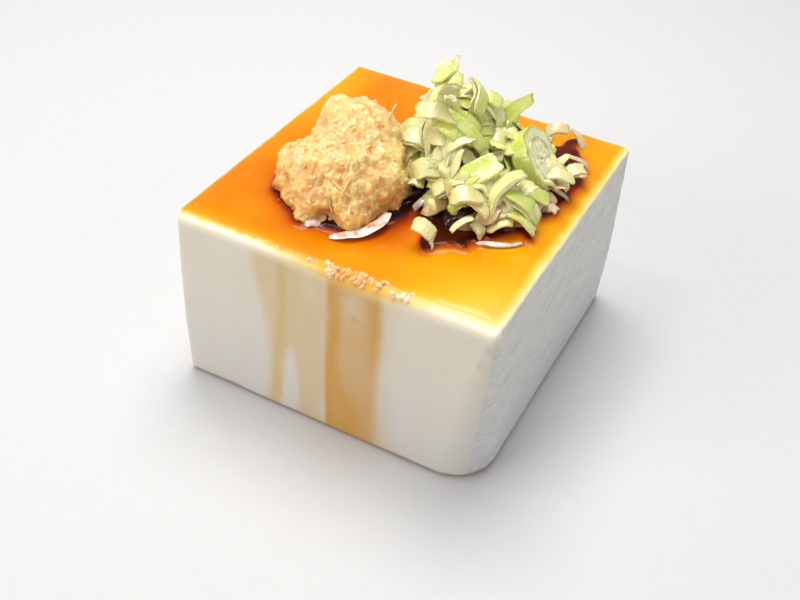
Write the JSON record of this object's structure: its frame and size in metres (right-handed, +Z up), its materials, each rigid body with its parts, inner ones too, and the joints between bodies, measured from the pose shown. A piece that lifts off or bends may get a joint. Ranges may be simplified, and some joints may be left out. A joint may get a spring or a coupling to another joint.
{
  "type": "tofu block",
  "caption": "Block of silken tofu dressed with soy sauce, topped with grated ginger and chopped spring onion, resting on its flat base.",
  "frame": {"origin": "centre of the object's base on the surface it stands on", "axes": "+Z up; -Y is the moulded front face with the soy run; +X is the knife-cut side"},
  "size_m": [0.0812, 0.0846, 0.0785],
  "materials": {
    "tofu": "moist silken bean curd, warm off-white, satin, with a soy stain run down the front",
    "ginger": "wet, fibrous, half translucent, pale yellow-brown",
    "spring_onion": "wet leaf, yellow-green skin and pale layered flesh",
    "soy_sauce": "thin clear liquid, amber where shallow and red-brown where deep"
  },
  "bodies": {
    "root": {"tofu_block": "tofu", "grated_ginger": "ginger", "spring_onion_heap": "spring_onion"}
  },
  "joints": []
}
